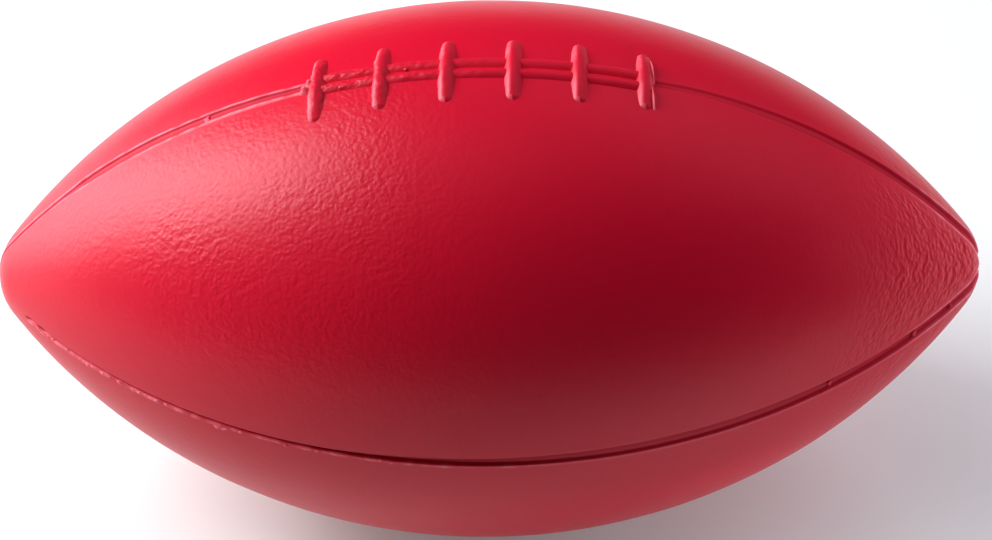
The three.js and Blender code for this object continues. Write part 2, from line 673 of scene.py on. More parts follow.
def panel_tree():
    """One skin panel: a thin slab laid on the ball between two seams, with half of each seam's groove."""
    seam_inputs = [(f"{seam} {size}", "Float") for seam in ("First", "Second") for size in SEAM_INPUTS]
    inputs = (
        ("First Seam", "Float"),
        ("Skin", "Float"),
        ("Unevenness", "Float"),
        ("Columns", "Int"),
        ("Rows", "Int"),
        ("Material", "Material"),
        *seam_inputs,
    )
    tree, given, end = piece_tree("Skin Panel", inputs)
    sizes = ball_inputs(given)
    a, b, c = parts_of(tree, point_places(tree))
    arcs = call(tree, Shapes.get("outline"), **sizes)
    along = a * arcs["Half Arc"]
    radius = call(tree, Shapes.get("surface"), **sizes, Along=along)["Radius"]

    # Rows keep a fixed spacing near both seams, so that the grooves follow them
    half_width = radius * (QUARTER / 2)
    band = (half_width * EDGE_SHARE).low(EDGE_BAND)
    inward = 1.0 - b.abs()
    from_edge = (inward / EDGE_ROWS).low(1.0) * band
    from_edge = from_edge + ((inward - EDGE_ROWS) / (1 - EDGE_ROWS)).high(0.0) * (half_width - band)
    from_middle = (half_width - from_edge) / radius * b.sign()
    turn = from_middle + QUARTER / 2
    around = given["First Seam"] + turn

    grooves = []
    for seam, away in (("First", turn), ("Second", QUARTER - turn)):
        shape = {size.replace(" ", "_"): given[f"{seam} {size}"] for size in SEAM_INPUTS}
        distance = radius * away.sin()
        grooves.append(call(tree, Shapes.get("groove"), Along=along, Distance=distance, **shape))
    first, second = grooves
    sunk = first["Lift"].low(second["Lift"]).low(0.0)
    raised = first["Lift"].high(second["Lift"]).high(0.0)
    # Painted shade in the grooves and painted highlight on their lips, for the coat's colour
    painted_shade = first["Groove"].high(second["Groove"])
    edge = first["Painted Highlight"].high(second["Painted Highlight"])

    smooth_place = call(tree, Shapes.get("surface"), **sizes, Along=along, Around=around)["Place"]
    broad = noise(tree, smooth_place, BROAD_WAVES)
    fine = noise(tree, smooth_place, FINE_WAVES)
    waves = broad + fine * FINE_SHARE - (1 + FINE_SHARE) / 2
    lift = sunk + raised * (1.0 - painted_shade.low(1.0)) + waves * given["Unevenness"] * NOISE_GAIN
    lift = lift - given["Skin"] * (1.0 - (c > 0.0))
    spot = call(tree, Shapes.get("surface"), **sizes, Along=along, Around=around, Lift=lift)["Place"]

    marked = slab(tree, given["Columns"], given["Rows"])
    # The groove value is painted shade for the coat's colour
    for name, value in (("groove", painted_shade), ("edge", edge), ("grained", from_edge.step(*GRAIN_START))):
        marked = stored(tree, marked, name, value)
    finish_tree(tree, end, welded(tree, moved(tree, marked, spot)), given["Material"])
    return tree


# Skin panels: their seams, with sizes as shares of the full ones from the left to the right

EVEN = (1.0, 1.0, 1.0)
PLAIN_WIDTHS = (0.8, 0.8, 0.85)
FRONT_WIDTHS = (0.8, 1.0)  # its left is closed
FRONT_DEPTHS = (1.0, 0.46, 0.8)
ABOVE_LIPS = (0.0, 0.0, 0.3)
BELOW_LIPS = (2.6, 1.3, 0.7)
LACED_WIDTHS = (0.86, 0.6, 1.1)
LACED_DEPTHS = (0.32, 0.36, 0.66)
NEAR_LIPS = (1.0, 1.8, 0.15)
FAR_LIPS = (1.8, 1.8, 0.15)
TIP_REACH = 128 * MM  # along a seam to where it has its tip width
FRONT_REACH = 145 * MM
FRONT_PITS = 1.2 * MM  # by which the pits widen the front seam
LACED_BOW = 0.6 * MM  # to the rear, at the right
RAGGED = 3.2  # how much the tears change a lip
PANELS = (
    ("upper_front", "laced front", "front above"),
    ("lower_front", "front below", "plain"),
    ("lower_rear", "plain", "plain"),
    ("upper_rear", "plain", "laced rear"),
)


def shares_of(size, shares):
    """A size times each of its shares."""
    return [size * share for share in shares]


def seam_shape(widths, depths, lips, land=0.0, reach=TIP_REACH, bow=0.0, tint=1.0, ragged=RAGGED, pits=0.0):
    """A seam's inputs: widths, depths and lips from the left to the right, and how it runs and how strong
    its painted shade is.
    """
    return dict(zip(SEAM_INPUTS, (*widths, *depths, *lips, land, reach, bow, tint, ragged, pits)))


def seam_shapes(seams, land):
    """The inputs of each seam, by its name and the side that it is seen from."""
    narrow = seams.closed_width
    lip = seams.lip
    plain = {
        "widths": (narrow, *shares_of(seams.width, PLAIN_WIDTHS)),
        "depths": shares_of(seams.depth, EVEN),
    }
    front = {
        "widths": (0.0, narrow, *shares_of(seams.width, FRONT_WIDTHS)),
        "depths": shares_of(seams.depth, FRONT_DEPTHS),
        "reach": FRONT_REACH,
        "pits": FRONT_PITS,
    }
    laced = {
        "widths": (narrow, *shares_of(seams.width, LACED_WIDTHS)),
        "depths": shares_of(seams.depth, LACED_DEPTHS),
        "land": land,
    }
    # tint: strength of the painted shade in each side's half of a groove
    return {
        "plain": seam_shape(**plain, lips=shares_of(lip, EVEN)),
        "front above": seam_shape(**front, lips=shares_of(lip, ABOVE_LIPS), tint=1.2),
        "front below": seam_shape(**front, lips=shares_of(lip, BELOW_LIPS), tint=0.8, ragged=6.0),
        "laced front": seam_shape(**laced, lips=shares_of(lip, NEAR_LIPS), bow=LACED_BOW, tint=1.4),
        "laced rear": seam_shape(**laced, lips=shares_of(lip, FAR_LIPS), bow=-LACED_BOW, tint=0.8),
    }


class FOOTBALL_OT_skin_panels(bpy.types.Operator):
    """Lay the four skin panels on the ball, with their seam grooves"""

    bl_idname = "football.skin_panels"
    bl_label = "Skin Panels"

    def execute(self, context):
        sizes = context.scene.football_ball
        land = context.scene.football_lacing.ridge_length / 2
        shapes = seam_shapes(context.scene.football_seams, land)
        tree = panel_tree()
        for quarter, (name, first, second) in enumerate(PANELS):
            values = {
                **ball_values(sizes),
                "First Seam": quarter * QUARTER,
                "Skin": sizes.skin,
                "Unevenness": sizes.unevenness,
                "Columns": sizes.columns,
                "Rows": sizes.rows,
                "Material": coat_material("Skin Coat"),
            }
            for seam, shape in (("First", shapes[first]), ("Second", shapes[second])):
                values.update({f"{seam} {size}": value for size, value in shape.items()})
            carried(baked(f"{name}_skin", tree, values), "skin", f"{name}_panel")
        return {"FINISHED"}


# Lacing

STRAIGHT_STEPS = 0.7  # share of a strip's columns on its straight part
SINK = 0.12 * MM  # of a strip's edge under the skin's surface
FOOT = 0.4 * MM  # of its underside under the skin's surface
END_FACE = 0.9  # a face that looks along the strip by more than this is an end, and goes
LOWERING = 2.5  # height that a strip loses towards its ends, to its taper
HIGHLIGHT_ACROSS = (0.05, 0.35)  # over which the painted highlight on a bar's lit side comes in, from its spine
HIGHLIGHT_ALONG = (0.15, 0.5)  # and from its middle
HIGHLIGHT_MIDDLE = 0.25  # how strong that painted highlight is at the bar's middle

# Lacing: lumps in its coat, with waves to a metre

LUMP_WAVES = 240.0
SMALL_LUMP_WAVES = 700.0
SMALL_LUMP_SHARE = 0.8
BUBBLE_WAVES = 1300.0
BUBBLE_END = (-34 * MM, -12 * MM)  # along the ball
SWAY_WAVES = 330.0
SWAY_SHARE = 1.6
LUMP_LEVEL = 1.2  # at the left, and one less at the right
LUMP_END = (-40 * MM, 20 * MM)  # along the ball


def relief_tree():
    """Rounded strips moulded on the ball: made flat, set in a row, and wrapped onto the skin together.

    Flat X runs along the ball and flat Y across its lacing seam.
    A strip's long way is X until it is turned."""
    sizes = ("Strip Length", "Strip Width", "Height")
    # The two pale values are strengths of a painted highlight: over the whole strip, and on its lit side
    form = ("Taper", "Crest", "Skew", "Pale", "Pale Side", "Lumps", "Bubbles")
    changes = ("Turn", "Turn Step", "Shortening")
    inputs = (
        *((name, "Float") for name in sizes + form + changes),
        *((name, "Int") for name in ("Count", "Long Steps", "Wide Steps")),
        *((name, "Vector") for name in ("Start", "Step")),
        ("Material", "Material"),
    )
    tree, given, end = piece_tree("Moulded Strips", inputs)
    block = slab(tree, given["Long Steps"], given["Wide Steps"])
    facing, _, _ = parts_of(tree, out(tree, place(tree, "GeometryNodeInputNormal")))
    is_end = facing.abs() > END_FACE
    sleeve = place(tree, "GeometryNodeDeleteGeometry", {"domain": "FACE"}, Geometry=block, Selection=is_end)
    a, b, c = parts_of(tree, point_places(tree))

    # Rows cross the straight part, then fan round each end and close on themselves
    half = given["Strip Width"] / 2.0
    straight = given["Strip Length"] / 2.0 - half
    fan = ((a.abs() - STRAIGHT_STEPS) / (1 - STRAIGHT_STEPS)).high(0.0) * QUARTER
    run = (a.abs() / STRAIGHT_STEPS).low(1.0)
    tapered = 1.0 - run * run * run * given["Taper"]
    lowered = 1.0 - run * run * given["Taper"] * LOWERING
    dome = b.abs() * QUARTER
    out_from_spine = dome.sin() * half * tapered
    x = a.sign() * (run * straight + out_from_spine * fan.sin())
    arch = 1.0 - dome.sin().math("POWER", given["Crest"])
    y = b.sign() * out_from_spine * fan.cos() + arch * given["Skew"] * half
    rise = arch * given["Height"] * lowered - SINK
    is_top = c > 0.0
    lift = rise * is_top - (1.0 - is_top) * FOOT
    # Painted highlight: paler all over by a given share, and more on the lit side away from the middle
    highlight_along = run.step(*HIGHLIGHT_ALONG).above(HIGHLIGHT_MIDDLE)
    pale = given["Pale"] + given["Pale Side"] * b.step(*HIGHLIGHT_ACROSS) * highlight_along
    marked = stored(tree, out(tree, sleeve), "edge", pale)
    strip = welded(tree, moved(tree, marked, vector_of(tree, x, y, lift)))

    # A row of strips, each a little shorter and further turned than the one before
    line = {"Count": given["Count"], "Start_Location": given["Start"], "Offset": given["Step"]}
    row = out(tree, place(tree, "GeometryNodeMeshLine", **line))
    index = out(tree, place(tree, "GeometryNodeInputIndex"))
    turn = vector_of(tree, 0.0, 0.0, given["Turn"] + given["Turn Step"] * index)
    share = index / (given["Count"] - 1.0).high(1.0)
    scale = vector_of(tree, 1.0 - share * share * share * given["Shortening"], 1.0, 1.0)
    strips = copied(tree, row, strip, turn, scale)

    # Lumps in the coat, stronger towards the left end of the ball
    flat = point_places(tree)
    along, across, height = parts_of(tree, flat)
    large = noise(tree, flat, LUMP_WAVES, detail=1.0)
    small = noise(tree, flat, SMALL_LUMP_WAVES, detail=1.0)
    bubbles = (noise(tree, flat, BUBBLE_WAVES, detail=1.0) - 0.5) * (1.0 - along.step(*BUBBLE_END))
    waves = large + small * SMALL_LUMP_SHARE - (1 + SMALL_LUMP_SHARE) / 2
    waves = waves + bubbles * given["Bubbles"]
    sideways = noise(tree, flat, SWAY_WAVES, detail=1.0) - 0.5
    lumps = given["Lumps"] * (LUMP_LEVEL - along.step(*LUMP_END))
    along = along + sideways * lumps * SWAY_SHARE
    height = height + waves * lumps * (height / given["Height"]).high(0.0)
    on_ball = {**ball_inputs(given), "Along": along, "Across": across * -1.0, "Lift": height}
    wrapped = call(tree, Shapes.get("surface"), **on_ball)["Place"]
    finish_tree(tree, end, moved(tree, strips, wrapped), given["Material"])
    return tree


PLAIN_STRIP = {
    "Taper": 0.0,
    "Skew": 0.0,
    "Pale": 0.0,
    "Pale Side": 0.0,
    "Bubbles": 0.0,
    "Turn": 0.0,
    "Turn Step": 0.0,
    "Shortening": 0.0,
}
ROW_BACK = 0.2 * MM  # by which the row of bars is moved back
FLASH_SHARE = 0.42  # length of a fin of flash, to a bar's
FLASH_SPREAD = 0.4  # between the two fins, to a bar's length
FLASH_GAP = 1.9 * MM  # from the last bar's middle
SPUR_GAP = 3.1 * MM  # from the first bar's middle
SPUR_FRONT = 1.2 * MM  # of its first lobe before the ridges' middle


def bar_row_ends(lacing):
    """Where the row of bars starts and ends along the seam."""
    half = lacing.pitch * (BAR_COUNT - 1) / 2
    return lacing.shift - half, lacing.shift + half


def ridge_strips(lacing):
    """The two lengthwise ridges, side by side."""
    return {
        "Strip Length": lacing.ridge_length,
        "Strip Width": lacing.ridge_width,
        "Height": lacing.ridge_height,
        "Crest": 2.0,
        "Lumps": 0.7 * MM,
        "Bubbles": 0.6,
        "Count": 2,
        "Start": (lacing.shift, -lacing.ridge_spacing / 2, 0.0),
        "Step": (0.0, lacing.ridge_spacing, 0.0),
        "Long Steps": 300,
        "Wide Steps": 34,
    }


def bar_strips(lacing):
    """The cross bars, which drift back and turn from each to the next."""
    first_bar, _ = bar_row_ends(lacing)
    return {
        "Strip Length": lacing.bar_length,
        "Strip Width": lacing.bar_width,
        "Height": lacing.bar_height,
        "Taper": lacing.taper,
        "Crest": 2.2,
        "Skew": 0.14,
        "Pale Side": 0.55,
        "Lumps": 0.5 * MM,
        "Count": BAR_COUNT,
        "Start": (first_bar, -lacing.drift * BAR_COUNT / 2 + ROW_BACK, 0.0),
        "Step": (lacing.pitch, lacing.drift, 0.0),
        "Turn": QUARTER - lacing.lean,
        "Turn Step": lacing.lean_step,
        "Shortening": lacing.shortening,
        "Long Steps": 110,
        "Wide Steps": 34,
    }


def flash_strips(lacing):
    """Two thin fins of flash beside the last bar."""
    _, last_bar = bar_row_ends(lacing)
    spread = lacing.bar_length * FLASH_SPREAD
    return {
        "Strip Length": lacing.bar_length * FLASH_SHARE,
        "Strip Width": 0.9 * MM,
        "Height": 1.6 * MM,
        "Taper": 0.4,
        "Crest": 1.6,
        # Pale: strength of the painted highlight on the fins
        "Pale": 0.9,
        "Lumps": 0.2 * MM,
        "Count": 2,
        "Start": (last_bar + FLASH_GAP, -spread / 2, 0.0),
        "Step": (-0.15 * MM, spread, 0.0),
        "Turn": QUARTER + math.radians(7),
        "Long Steps": 60,
        "Wide Steps": 12,
    }


def spur_strips(lacing):
    """A spur of coat in two lobes, before the first bar."""
    first_bar, _ = bar_row_ends(lacing)
    return {
        "Strip Length": 4.6 * MM,
        "Strip Width": 3.0 * MM,
        "Height": 1.9 * MM,
        "Taper": lacing.taper,
        "Crest": 1.8,
        # Pale: strength of the painted highlight on the spur
        "Pale": 0.6,
        "Lumps": 0.6 * MM,
        "Bubbles": 0.5,
        "Count": 2,
        "Start": (first_bar - SPUR_GAP, -SPUR_FRONT, 0.0),
        "Step": (1.0 * MM, 2.2 * MM, 0.0),
        "Turn": math.radians(35),
        "Turn Step": math.radians(30),
        "Long Steps": 40,
        "Wide Steps": 24,
    }


class FOOTBALL_OT_lacing(bpy.types.Operator):
    """Mould the two lengthwise ridges along the lacing seam and the cross bars over them"""

    bl_idname = "football.lacing"
    bl_label = "Lacing"

    def execute(self, context):
        lacing = context.scene.football_lacing
        tree = relief_tree()
        shared = {**ball_values(context.scene.football_ball), **PLAIN_STRIP}
        shared["Material"] = coat_material("Lacing Coat")
        bars = [f"lace_bar_{index + 1}" for index in range(BAR_COUNT)]
        pieces = (
            ("lace_ridges", ridge_strips(lacing), ("front_lace_ridge", "rear_lace_ridge")),
            ("lace_bars", bar_strips(lacing), bars),
            ("lace_flash", flash_strips(lacing), ()),
            ("lace_spur", spur_strips(lacing), ()),
        )
        for name, strips, nodes in pieces:
            carried(baked(name, tree, {**shared, **strips}), "lacing", *nodes)
        return {"FINISHED"}


# Beads where the coat has run along its seams

LACED_SEAM = 0.0
FRONT_SEAM = QUARTER
BEAD_JITTER = (0.1, 0.9)  # place of a bead in its share of the row
BEAD_SIZES = (0.55, 1.25)  # of a bead, to the row's bead size
BEAD_STRETCH = (1.0, 1.6)  # length of a bead, to its size
BEAD_TURN = (-0.5, 0.5)  # in radians
BEAD_WIDTH = 0.9  # to its size
BEAD_HEIGHT = 0.6
BEAD_ROUNDS = 2  # subdivisions of the bead's mesh
FLOAT_LIMITS = (2, 3)  # the random node's sockets for its float limits
FLOAT_RESULT = 1


# pale: strength of the painted highlight on the row's beads
def bead_row(seam, start, end, count, seed, across, spread, bead, rise, pale):
    """One row's inputs; its places along, across and above the seam and its bead size are in millimetres."""
    return {
        "Around": seam,
        "Start": start * MM,
        "End": end * MM,
        "Count": count,
        "Across": across * MM,
        "Spread": spread * MM,
        "Bead": bead * MM,
        "Raise": rise * MM,
        "Pale": pale,
        "Seed": seed,
    }


def nick_row(start, end, seed):
    """One run of coat that crosses the open part of the front seam."""
    return bead_row(FRONT_SEAM, start, end, 8, seed, across=0.4, spread=1.15, bead=0.38, rise=-0.5, pale=0.1)


BEAD_ROWS = (
    bead_row(FRONT_SEAM, -134, -121, 5, seed=3, across=0.7, spread=0.3, bead=0.4, rise=0.05, pale=0.8),
    bead_row(FRONT_SEAM, -121, -87, 11, seed=21, across=0.75, spread=0.25, bead=0.52, rise=0.15, pale=1.0),
    bead_row(FRONT_SEAM, -87, -22, 14, seed=8, across=1.2, spread=0.35, bead=0.42, rise=0.1, pale=0.6),
    bead_row(FRONT_SEAM, -74, -70, 5, seed=31, across=1.4, spread=0.6, bead=0.6, rise=0.1, pale=0.8),
    nick_row(96.4, 97.2, seed=41),
    nick_row(126.3, 127.2, seed=43),
    nick_row(141.2, 142.0, seed=45),
    bead_row(LACED_SEAM, -75.3, -74.7, 9, seed=4, across=0.0, spread=1.9, bead=0.6, rise=-0.2, pale=0.6),
    bead_row(LACED_SEAM, -41, -26, 12, seed=12, across=0.1, spread=3.0, bead=0.5, rise=0.5, pale=0.2),
    bead_row(LACED_SEAM, -26, -6, 5, seed=15, across=0.1, spread=2.8, bead=0.45, rise=0.5, pale=0.4),
)


def bead_row_group():
    """A loose row of flattened beads along a seam, made flat and wrapped onto the skin."""
    numbers = ("Around", "Start", "End", "Across", "Spread", "Bead", "Raise", "Pale")
    inputs = (*((name, "Float") for name in numbers), ("Count", "Int"), ("Seed", "Int"))
    tree, given, end = piece_tree("Bead Row", inputs)

    def chance(limits, draw):
        """A random value between two limits for each bead; each draw is its own."""
        node = place(tree, "FunctionNodeRandomValue", {"data_type": "FLOAT"}, Seed=given["Seed"] + draw)
        for socket, limit in zip(FLOAT_LIMITS, limits):
            node.inputs[socket].default_value = limit
        return out(tree, node, FLOAT_RESULT)

    row = out(tree, place(tree, "GeometryNodeMeshLine", Count=given["Count"]))
    index = out(tree, place(tree, "GeometryNodeInputIndex"))
    share = (index + chance(BEAD_JITTER, 0.0)) / given["Count"]
    along = given["Start"].to(given["End"], share)
    across = given["Across"] + chance((-1.0, 1.0), 1.0) * given["Spread"]
    points = moved(tree, row, vector_of(tree, along, across, 0.0))
    ball = out(tree, place(tree, "GeometryNodeMeshIcoSphere", Subdivisions=BEAD_ROUNDS))
    size = given["Bead"] * chance(BEAD_SIZES, 2.0)
    scale = vector_of(tree, size * chance(BEAD_STRETCH, 3.0), size * BEAD_WIDTH, size * BEAD_HEIGHT)
    turn = vector_of(tree, 0.0, 0.0, chance(BEAD_TURN, 4.0))
    beads = copied(tree, points, ball, turn, scale)

    along, across, lift = parts_of(tree, point_places(tree))
    on_ball = {
        **ball_inputs(given),
        "Along": along,
        "Around": given["Around"],
        "Across": across,
        "Lift": lift + given["Raise"],
    }
    wrapped = call(tree, Shapes.get("surface"), **on_ball)["Place"]
    # The beads carry the strength of their painted highlight for the coat's colour
    plug(tree, end.inputs[0], stored(tree, moved(tree, beads, wrapped), "edge", given["Pale"]))
    return tree


def bead_tree():
    """All the rows of beads, in one mesh."""
    tree, given, end = piece_tree("Coat Beads", [("Material", "Material")])
    group = bead_row_group()
    joined = tree.nodes.new("GeometryNodeJoinGeometry")
    for row in BEAD_ROWS:
        plug(tree, joined.inputs[0], call(tree, group, **ball_inputs(given), **row)["Geometry"])
    finish_tree(tree, end, out(tree, joined), given["Material"])
    return tree


class FOOTBALL_OT_coat_beads(bpy.types.Operator):
    """Set beads where the coat has run along its seams"""

    bl_idname = "football.coat_beads"
    bl_label = "Coat Beads"

    def execute(self, context):
        values = ball_values(context.scene.football_ball)
        values["Material"] = coat_material("Lacing Coat")
        carried(baked("coat_beads", bead_tree(), values), "skin")
        return {"FINISHED"}


# Foam core

FOAM_SEGMENTS = 192
FOAM_RINGS = 120
FOAM_GAP = 0.4 * MM  # between the foam and the inside of the skin
FOAM_GROOVE = 0.9  # depth of the foam's grooves, to the skin's
GROOVE_FLOOR = 0.3  # share of a groove's width that is its floor


def foam_core_tree():
    """The foam body: the ball drawn in under its skin, with shallow seam grooves."""
    sizes = ("Inset", "Groove Depth", "Groove Width")
    inputs = (*((name, "Float") for name in sizes), ("Material", "Material"))
    tree, given, end = piece_tree("Foam Core", inputs)
    ball = ball_inputs(given)
    globe = out(tree, place(tree, "GeometryNodeMeshUVSphere", Segments=FOAM_SEGMENTS, Rings=FOAM_RINGS))
    x, y, z = parts_of(tree, point_places(tree))
    arcs = call(tree, Shapes.get("outline"), **ball)
    along = z.math("ARCSINE") / QUARTER * arcs["Half Arc"]
    around = y.math("ARCTAN2", x)
    radius = call(tree, Shapes.get("surface"), **ball, Along=along)["Radius"]
    near_seam = (around * 2.0).sin().abs() * radius / 2.0
    groove = 1.0 - near_seam.step(given["Groove Width"] * GROOVE_FLOOR, given["Groove Width"])
    lift = given["Inset"] * -1.0 - groove * given["Groove Depth"]
    spot = call(tree, Shapes.get("surface"), **ball, Along=along, Around=around, Lift=lift)["Place"]
    finish_tree(tree, end, moved(tree, globe, spot), given["Material"])
    return tree


class FOOTBALL_OT_foam_core(bpy.types.Operator):
    """Mould the foam body under the skin"""

    bl_idname = "football.foam_core"
    bl_label = "Foam Core"

    def execute(self, context):
        sizes = context.scene.football_ball
        seams = context.scene.football_seams
        values = {
            **ball_values(sizes),
            "Inset": sizes.skin + FOAM_GAP,
            "Groove Depth": seams.depth * FOAM_GROOVE,
            "Groove Width": seams.width + sizes.skin,
            "Material": foam_material(),
        }
        piece = carried(baked("foam_body", foam_core_tree(), values), "foam", "foam_core")
        return {"FINISHED"}


# Finishes: where the grain stands out, in spans along, across and up the ball

FRONT_FADE = (-6 * MM, 0.0)  # across, from the front to the rear
LEFT_END = (-25 * MM, 8 * MM)  # along, where the left grain ends
LEFT_RISE = (5 * MM, 42 * MM)  # up, where it comes in
LEFT_PEAK = (-70 * MM, 16 * MM)  # along, the middle and half width of its strongest part
RIGHT_START = (84 * MM, 108 * MM)  # along, where the right grain comes in
RIGHT_SLANT = 11 * MM  # how much later that is higher up
RIGHT_RISE = (0.0, 22 * MM)  # up
SEAM_FADE = (-2 * MM, 4 * MM)  # up, past the front seam
TIP_START = (112 * MM, 126 * MM)  # along, where it is deepest
FAN_SPAN = (60 * MM, 120 * MM)  # along, where it fans out

# Finishes: how much the grain stands out

REAR_LEFT_SHARE = 0.15
REAR_RIGHT_SHARE = 0.3
LOWER_SHARE = 0.35
PEAK_GAIN = 0.35
FAINT_GRAIN = 0.28
LEFT_GRAIN = 0.4
PATCH_GRAIN = 0.5
RIGHT_GRAIN = 3.6
RIGHT_HIGH_LOSS = 0.8
TIP_GAIN = 1.4

# Finishes: the grain's own form

GRAIN_FAN = 20.0  # bend of the fan, to a metre
FAN_FINER = 0.05  # share by which the fan is finer along the ball
FAN_LONGER = 0.3  # share by which it is longer across
PEBBLE_DETAIL = 0.6
BROAD_PEBBLE = 0.7  # height of the broad pebbles, twice as large, to the small ones
PATCH_WAVES = 55.0  # to a metre
PATCH_LEVELS = (0.3, 0.65)


def grain_group():
    """The coat's leather-like grain: soft pebbles, in patches that stand out more and less."""
    inputs = (("Place", "Vector"), ("Pebble", "Float"))
    tree, given, end = new_tree("Leather Grain", "ShaderNodeTree", inputs, [("Height", "Float")])
    x, y, z = parts_of(tree, given["Place"])
    in_front = 1.0 - y.step(*FRONT_FADE)
    higher = z.step(*RIGHT_RISE)

    # How deep it is
    on_left = (1.0 - x.step(*LEFT_END)) * z.step(*LEFT_RISE) * in_front.above(REAR_LEFT_SHARE)
    on_left = on_left * (1.0 + x.hump(*LEFT_PEAK) * PEAK_GAIN)
    on_right = (x - higher * RIGHT_SLANT).step(*RIGHT_START)
    on_right = on_right * in_front.above(REAR_RIGHT_SHARE) * z.step(*SEAM_FADE).above(LOWER_SHARE)
    patches = noise(tree, given["Place"], PATCH_WAVES, detail=1.0).step(*PATCH_LEVELS)
    at_tip = RIGHT_GRAIN - higher * RIGHT_HIGH_LOSS + x.step(*TIP_START) * TIP_GAIN
    depth = FAINT_GRAIN + on_left * (LEFT_GRAIN + patches * PATCH_GRAIN) + on_right * at_tip

    # Pebbles, which fan out towards the right tip
    from_middle = (y + z) * math.sqrt(0.5)
    fan = x.step(*FAN_SPAN)
    fanned = x * (1.0 + fan * FAN_FINER) + from_middle * from_middle * fan * GRAIN_FAN
    longer = 1.0 - fan * FAN_LONGER
    drawn = vector_of(tree, fanned, y * longer, z * longer)
    waves = 1.0 / given["Pebble"]
    small = noise(tree, drawn, waves, detail=PEBBLE_DETAIL)
    broad = noise(tree, drawn, waves / 2.0, detail=0.0)
    pebbles = small + broad * BROAD_PEBBLE - (1 + BROAD_PEBBLE) / 2
    plug(tree, end.inputs["Height"], pebbles * depth)
    return tree


BROAD_MOTTLE = 0.65  # share of the broad clouds in the mottle
CLOUD_WAVES = 22.0  # to a metre
SMALL_CLOUD_WAVES = 140.0


def mottle_group():
    """Cloudy unevenness of the coat from 0 to 1, at two sizes."""
    inputs = [("Place", "Vector")]
    tree, given, end = new_tree("Coat Mottle", "ShaderNodeTree", inputs, [("Mottle", "Float")])
    broad = noise(tree, given["Place"], CLOUD_WAVES, detail=3.0)
    small = noise(tree, given["Place"], SMALL_CLOUD_WAVES)
    plug(tree, end.inputs["Mottle"], broad * BROAD_MOTTLE + small * (1 - BROAD_MOTTLE))
    return tree


class Finishes:
    """The shader groups that the finishes share, built once."""

    built = {}

    @classmethod
    def get(cls, name):
        if not cls.built:
            cls.built = {"grain": grain_group(), "mottle": mottle_group()}
        return cls.built[name]


def fresh_material(name):
    """An empty node material with its shader: (material, tree, shader)."""
    material = bpy.data.materials.new(name)
    material.use_nodes = True
    tree = material.node_tree
    tree.nodes.clear()
    shader = tree.nodes.new("ShaderNodeBsdfPrincipled")
    end = tree.nodes.new("ShaderNodeOutputMaterial")
    tree.links.new(shader.outputs[0], end.inputs["Surface"])
    return material, tree, shader


def mixed(tree, share, first, second):
    """Two colours, the second in for a share from 0 to 1."""
    node = place(tree, "ShaderNodeMix", {"data_type": "RGBA"})
    for socket, value in ((0, share), (6, first), (7, second)):
        plug(tree, node.inputs[socket], value)
    return out(tree, node, 2)


def mesh_value(tree, name):
    """A value that the mesh carries, or 0 on a mesh without it."""
    return out(tree, place(tree, "ShaderNodeAttribute", {"attribute_name": name}), "Fac")


def object_place(tree):
    """The place on the object that a pattern is drawn at."""
    return out(tree, place(tree, "ShaderNodeTexCoord"), "Object")


# Finishes: the coat on the skin and on the lacing

GRAIN_DEPTH = {"Skin Coat": 0.15 * MM, "Lacing Coat": 0.07 * MM}
ROUGHNESS = {"Skin Coat": 0.38, "Lacing Coat": 0.46}
SHINE = {"Skin Coat": 0.27, "Lacing Coat": 0.28}
GRAIN_STRENGTH = 0.8
# Strength of the painted shade in the grooves
GROOVE_SHADE = 0.65
MOTTLE_DARKNESS = 0.2
GROOVE_ROUGHNESS = 0.25
MOTTLE_ROUGHNESS = 0.12
HIGHLIGHT_SHARE = 0.4  # share of the painted highlight colour on a raised edge, and as much again where it is unbroken
HIGHLIGHT_BREAKS = 420.0  # waves to a metre
HIGHLIGHT_LEVELS = (0.2, 0.6)


def coat_material(name):
    """The satin red coat with its grain: painted shade in the grooves, and painted highlight on raised
    edges.
    """
    if name in bpy.data.materials:
        return bpy.data.materials[name]
    finish = bpy.context.scene.football_finish
    material, tree, shader = fresh_material(name)
    spot = object_place(tree)
    mottle = call(tree, Finishes.get("mottle"), Place=spot)["Mottle"]
    # Painted shade in the grooves, mixed with the coat's uneven tone
    groove = mesh_value(tree, "groove")
    dark = groove * GROOVE_SHADE + (mottle - 0.5) * MOTTLE_DARKNESS
    body = mixed(tree, dark.high(0.0).low(1.0), finish.red, finish.shade_red)
    # Painted highlight on raised edges, broken in places
    unbroken = noise(tree, spot, HIGHLIGHT_BREAKS, detail=1.0).step(*HIGHLIGHT_LEVELS)
    pale = mesh_value(tree, "edge") * (HIGHLIGHT_SHARE + unbroken * HIGHLIGHT_SHARE)
    plug(tree, shader.inputs["Base Color"], mixed(tree, pale, body, finish.highlight_red))
    rough = ROUGHNESS[name] + (mottle - 0.5) * MOTTLE_ROUGHNESS + groove * GROOVE_ROUGHNESS
    plug(tree, shader.inputs["Roughness"], rough)
    grain = call(tree, Finishes.get("grain"), Place=spot, Pebble=finish.pebble)["Height"]
    if name == "Skin Coat":
        grain = grain * mesh_value(tree, "grained")
    bump = place(tree, "ShaderNodeBump", Height=grain, Strength=GRAIN_STRENGTH, Distance=GRAIN_DEPTH[name])
    plug(tree, shader.inputs["Normal"], out(tree, bump))
    shader.inputs["Specular IOR Level"].default_value = SHINE[name]
    return material


# Finishes: the foam

FOAM_CELLS = 1400.0  # to a metre
CELL_FADE = (0.1, 0.7)  # from a cell's middle to its wall
CELL_PALENESS = 0.4
MOTTLE_PALENESS = 0.3
CELL_SHADE = 0.6  # brightness of a cell's middle, to the foam's
FOAM_ROUGHNESS = 0.85
FOAM_MOTTLE = 0.1
CELL_STRENGTH = 0.7
CELL_DEPTH = 0.3 * MM


